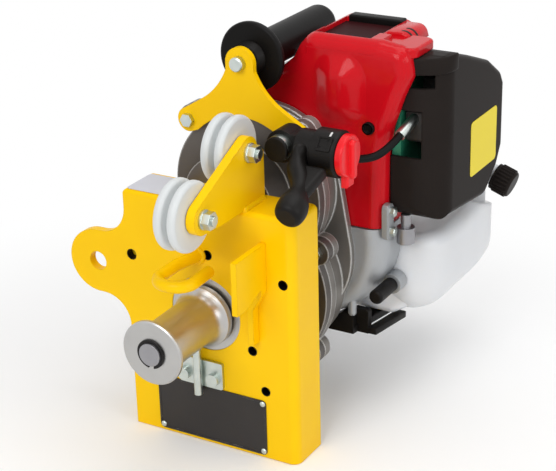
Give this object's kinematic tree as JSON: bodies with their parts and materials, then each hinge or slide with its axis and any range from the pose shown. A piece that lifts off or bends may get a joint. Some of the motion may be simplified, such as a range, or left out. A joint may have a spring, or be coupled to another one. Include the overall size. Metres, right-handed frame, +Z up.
{
  "type": "portable capstan winch",
  "caption": "Petrol-engined portable rope winch: capstan drum on a yellow plate box, guide rollers, carrying handle and engine behind.",
  "frame": {"origin": "middle of the frame box's flat base", "axes": "+Z up, -Y out of the drum face, +X to the right seen from the drum"},
  "size_m": [0.2278, 0.306, 0.2705],
  "materials": {
    "frame_paint": "yellow enamel",
    "bare_steel": "bright turned steel",
    "zinc": "zinc plated",
    "blackened": "blackened",
    "nylon": "white nylon",
    "case_grey": "dark cast",
    "engine_alloy": "cast",
    "red_plastic": "red moulded",
    "black_plastic": "black moulded",
    "black_rubber": "black",
    "green_plastic": "green moulded",
    "tank_plastic": "milky",
    "carb_alloy": "die cast",
    "foam": "foam",
    "ceramic": "glazed"
  },
  "bodies": {
    "base": {"frame_box": "frame_paint", "back_plate": "frame_paint", "roller_plate": "frame_paint", "rope_hook": "frame_paint", "rope_guard": "frame_paint", "handle_bracket": "frame_paint", "bearing_housing": "bare_steel", "front_bearing": "bare_steel", "case_bearing": "bare_steel", "axle_nuts": "zinc", "roller_axles": "zinc", "stripper_plate": "zinc", "stripper_rod": "zinc", "stripper_screws": "zinc", "case_bolts": "zinc", "bracket_bolts": "zinc", "handle_rod": "zinc", "throttle_tube": "zinc", "cable_adjuster": "zinc", "gear_case_front": "case_grey", "gear_case_rear": "case_grey", "crankcase": "engine_alloy", "cylinder": "engine_alloy", "muffler": "engine_alloy", "engine_shroud": "red_plastic", "tube_plug": "black_plastic", "throttle_body": "black_plastic", "handle_spacer": "black_plastic", "air_cleaner_cover": "black_plastic", "starter_cover": "black_plastic", "tank_guard": "black_plastic", "plug_cap": "black_plastic", "intake_insulator": "black_plastic", "handle_grip": "black_rubber", "throttle_cable": "black_rubber", "air_cleaner_base": "green_plastic", "fuel_tank": "tank_plastic", "carburettor": "carb_alloy", "air_filter": "foam", "spark_plug": "ceramic"},
    "capstan": {"drum": "bare_steel", "circlip": "blackened", "output_shaft": "bare_steel", "output_gear": "bare_steel"},
    "idler": {"idler_shaft": "bare_steel", "idler_gear": "bare_steel"},
    "clutch": {"input_pinion": "bare_steel", "clutch_drum": "bare_steel"},
    "crank": {"crankshaft": "bare_steel", "clutch_shoes": "bare_steel", "flywheel": "engine_alloy"},
    "front_roller": {"front_roller": "nylon"},
    "rear_roller": {"rear_roller": "nylon"},
    "throttle_lever": {"throttle_lever": "black_plastic"},
    "stop_knob": {"stop_knob": "red_plastic"},
    "fuel_cap": {"fuel_cap": "black_plastic"},
    "oil_cap": {"oil_cap": "black_plastic"},
    "starter_grip": {"starter_grip": "black_plastic"}
  },
  "joints": [
    {"name": "capstan_turn", "type": "hinge", "parent": "base", "child": "capstan", "pos_m": [-0.003, 0, 0.095], "axis": [0, 1, 0], "continuous": true},
    {"name": "idler_turn", "type": "hinge", "parent": "base", "child": "idler", "pos_m": [-0.003, 0.05, 0.127], "axis": [0, 1, 0], "continuous": true},
    {"name": "clutch_turn", "type": "hinge", "parent": "base", "child": "clutch", "pos_m": [-0.003, 0.06, 0.159], "axis": [0, 1, 0], "continuous": true},
    {"name": "crank_turn", "type": "hinge", "parent": "base", "child": "crank", "pos_m": [-0.003, 0.09, 0.159], "axis": [0, 1, 0], "continuous": true},
    {"name": "front_roller_turn", "type": "hinge", "parent": "base", "child": "front_roller", "pos_m": [0.0131, -0.0595, 0.1825], "axis": [1, 0, 0], "continuous": true},
    {"name": "rear_roller_turn", "type": "hinge", "parent": "base", "child": "rear_roller", "pos_m": [0.0131, -0.006, 0.2065], "axis": [1, 0, 0], "continuous": true},
    {"name": "throttle", "type": "hinge", "parent": "base", "child": "throttle_lever", "pos_m": [0.0536, 0.0245, 0.203], "axis": [-1, 0, 0], "range_deg": [0, 50], "stiffness_Nm_per_rad": 0.15, "springref_deg": -11.46},
    {"name": "stop_switch", "type": "hinge", "parent": "base", "child": "stop_knob", "pos_m": [0.0796, 0.0245, 0.203], "axis": [1, 0, 0], "range_deg": [0, 35]},
    {"name": "fuel_cap_turn", "type": "hinge", "parent": "base", "child": "fuel_cap", "pos_m": [0.086, 0.2045, 0.138], "axis": [0.9397, 0, -0.342], "range_deg": [0, 180]},
    {"name": "oil_cap_turn", "type": "hinge", "parent": "base", "child": "oil_cap", "pos_m": [0.0765, 0.0755, 0.088], "axis": [0, -1, 0], "range_deg": [0, 180]},
    {"name": "starter_pull", "type": "slide", "parent": "base", "child": "starter_grip", "axis": [-1, 0, 0], "range_m": [0, 0.5], "stiffness_N_per_m": 5, "springref_m": -0.2}
  ],
  "couplings": [
    {"joint": "idler_turn", "follows": "capstan_turn", "ratio": -4.3333},
    {"joint": "clutch_turn", "follows": "capstan_turn", "ratio": 18.778}
  ]
}
